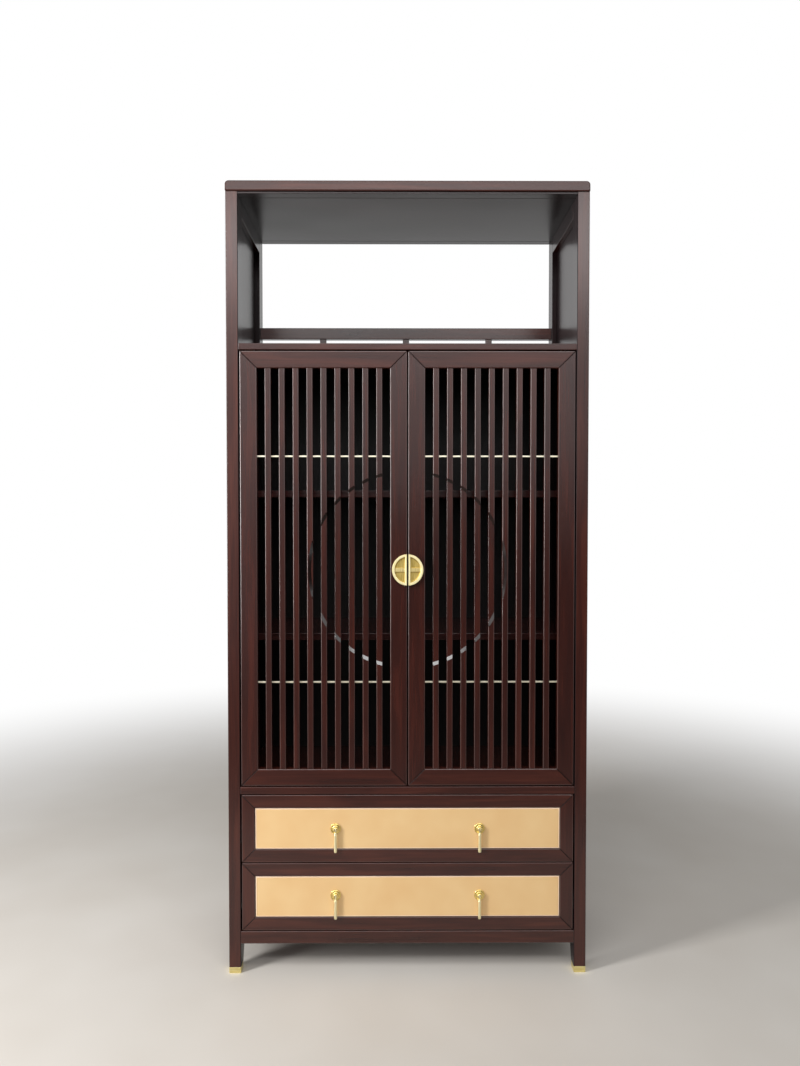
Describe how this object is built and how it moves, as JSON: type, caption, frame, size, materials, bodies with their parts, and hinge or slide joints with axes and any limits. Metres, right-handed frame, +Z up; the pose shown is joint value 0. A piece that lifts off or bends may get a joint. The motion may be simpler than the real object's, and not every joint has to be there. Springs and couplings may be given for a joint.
{
  "type": "double-door cabinet",
  "caption": "Tall dark wood cabinet: open display bay over slatted double doors with a milled moon circle, and leather-faced drawers below.",
  "frame": {"origin": "centre of the footprint on the floor, the pulls counted in", "axes": "+Z up; -Y is the front, with the doors and drawers; +X to the right seen from the front"},
  "size_m": [0.902, 0.39, 1.98],
  "materials": {
    "dark_wood": "dark red-brown stained hardwood under gloss lacquer",
    "drawer_wood": "plain light secondary wood, sanded and oiled",
    "brass": "brushed and lacquered brass",
    "leather": "tan smooth-grain leather stretched over a board, stitched near its edge",
    "slide_steel": "zinc-plated rolled steel",
    "catch_plastic": "moulded brown plastic case"
  },
  "bodies": {
    "cabinet": {"back_panel": "dark_wood", "bottom_back_rail": "dark_wood", "bottom_board": "dark_wood", "bottom_front_rail": "dark_wood", "ceiling_back_rail": "dark_wood", "ceiling_front_rail": "dark_wood", "ceiling_panel": "dark_wood", "cupboard_floor": "dark_wood", "display_shelf": "dark_wood", "door_catches": "catch_plastic", "foot_caps": "brass", "gallery_rail": "dark_wood", "gallery_struts": "dark_wood", "inner_shelf_lower": "dark_wood", "inner_shelf_upper": "dark_wood", "pivot_bushes": "brass", "post_back_left": "dark_wood", "post_back_right": "dark_wood", "post_front_left": "dark_wood", "post_front_right": "dark_wood", "shelf_cleats": "dark_wood", "side_panels": "dark_wood", "side_rails": "dark_wood", "slide_battens": "dark_wood", "slide_outer_channels": "slide_steel", "top_board": "dark_wood"},
    "door_left": {"door_left_pivot_pins": "brass", "door_left_pull": "brass", "door_left_rails": "dark_wood", "door_left_slats": "dark_wood", "door_left_stiles": "dark_wood", "door_left_strike_plate": "slide_steel", "door_left_tie_rods": "brass"},
    "door_right": {"door_right_pivot_pins": "brass", "door_right_pull": "brass", "door_right_rails": "dark_wood", "door_right_slats": "dark_wood", "door_right_stiles": "dark_wood", "door_right_strike_plate": "slide_steel", "door_right_tie_rods": "brass"},
    "drawer_lower": {"drawer_lower_box_bottom": "drawer_wood", "drawer_lower_box_ends": "drawer_wood", "drawer_lower_box_sides": "drawer_wood", "drawer_lower_front_frame": "dark_wood", "drawer_lower_leather_panel": "leather", "drawer_lower_rosettes": "brass", "drawer_lower_slide_inner": "slide_steel"},
    "slide_lower": {"drawer_lower_slide_middle": "slide_steel"},
    "drawer_upper": {"drawer_upper_box_bottom": "drawer_wood", "drawer_upper_box_ends": "drawer_wood", "drawer_upper_box_sides": "drawer_wood", "drawer_upper_front_frame": "dark_wood", "drawer_upper_leather_panel": "leather", "drawer_upper_rosettes": "brass", "drawer_upper_slide_inner": "slide_steel"},
    "slide_upper": {"drawer_upper_slide_middle": "slide_steel"},
    "drop_lower_left": {"drop_pull_lower_left": "brass"},
    "drop_lower_right": {"drop_pull_lower_right": "brass"},
    "drop_upper_left": {"drop_pull_upper_left": "brass"},
    "drop_upper_right": {"drop_pull_upper_right": "brass"}
  },
  "joints": [
    {"name": "door_left_swing", "type": "hinge", "parent": "cabinet", "child": "door_left", "pos_m": [-0.387, -0.176, 1.0195], "axis": [0, 0, -1], "range_deg": [0, 110]},
    {"name": "door_right_swing", "type": "hinge", "parent": "cabinet", "child": "door_right", "pos_m": [0.387, -0.176, 1.0195], "axis": [0, 0, 1], "range_deg": [0, 110]},
    {"name": "drawer_lower_pull_out", "type": "slide", "parent": "cabinet", "child": "drawer_lower", "axis": [0, -1, 0], "range_m": [0, 0.28]},
    {"name": "slide_lower_run", "type": "slide", "parent": "cabinet", "child": "slide_lower", "axis": [0, -1, 0], "range_m": [0, 0.14]},
    {"name": "drop_lower_left_swing", "type": "hinge", "parent": "drawer_lower", "child": "drop_lower_left", "pos_m": [-0.181, -0.1905, 0.1985], "axis": [-1, 0, 0], "range_deg": [0, 85]},
    {"name": "drop_lower_right_swing", "type": "hinge", "parent": "drawer_lower", "child": "drop_lower_right", "pos_m": [0.181, -0.1905, 0.1985], "axis": [-1, 0, 0], "range_deg": [0, 85]},
    {"name": "drawer_upper_pull_out", "type": "slide", "parent": "cabinet", "child": "drawer_upper", "axis": [0, -1, 0], "range_m": [0, 0.28]},
    {"name": "slide_upper_run", "type": "slide", "parent": "cabinet", "child": "slide_upper", "axis": [0, -1, 0], "range_m": [0, 0.14]},
    {"name": "drop_upper_left_swing", "type": "hinge", "parent": "drawer_upper", "child": "drop_upper_left", "pos_m": [-0.181, -0.1905, 0.3675], "axis": [-1, 0, 0], "range_deg": [0, 85]},
    {"name": "drop_upper_right_swing", "type": "hinge", "parent": "drawer_upper", "child": "drop_upper_right", "pos_m": [0.181, -0.1905, 0.3675], "axis": [-1, 0, 0], "range_deg": [0, 85]}
  ],
  "couplings": [
    {"joint": "slide_lower_run", "follows": "drawer_lower_pull_out", "ratio": 0.5},
    {"joint": "slide_upper_run", "follows": "drawer_upper_pull_out", "ratio": 0.5}
  ]
}
